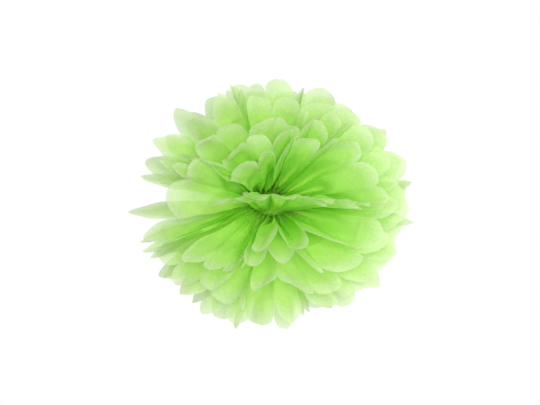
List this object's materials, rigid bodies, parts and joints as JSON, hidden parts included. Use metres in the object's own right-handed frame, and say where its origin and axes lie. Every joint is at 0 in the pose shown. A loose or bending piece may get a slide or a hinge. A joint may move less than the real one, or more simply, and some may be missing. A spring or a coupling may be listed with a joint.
{
  "type": "tissue paper pom pom",
  "caption": "Ball of pleated tissue paper petals, tied at the middle with wire, for hanging as a party decoration.",
  "frame": {"origin": "middle of the tie, where the wire holds the gathered sheets", "axes": "+Z along the tied strip, towards the middle of the upper fans; +X along the seam where the upper and lower fans meet; -Y towards the front of the ball"},
  "size_m": [0.3518, 0.3202, 0.3132],
  "materials": {
    "green_tissue": "matt, thin and translucent",
    "binding_wire": "plain drawn wire"
  },
  "bodies": {
    "root": {"sheet_01": "green_tissue", "sheet_02": "green_tissue", "sheet_03": "green_tissue", "sheet_04": "green_tissue", "sheet_05": "green_tissue", "sheet_06": "green_tissue", "sheet_07": "green_tissue", "sheet_08": "green_tissue", "sheet_09": "green_tissue", "sheet_10": "green_tissue", "tie_wire": "binding_wire"}
  },
  "joints": []
}
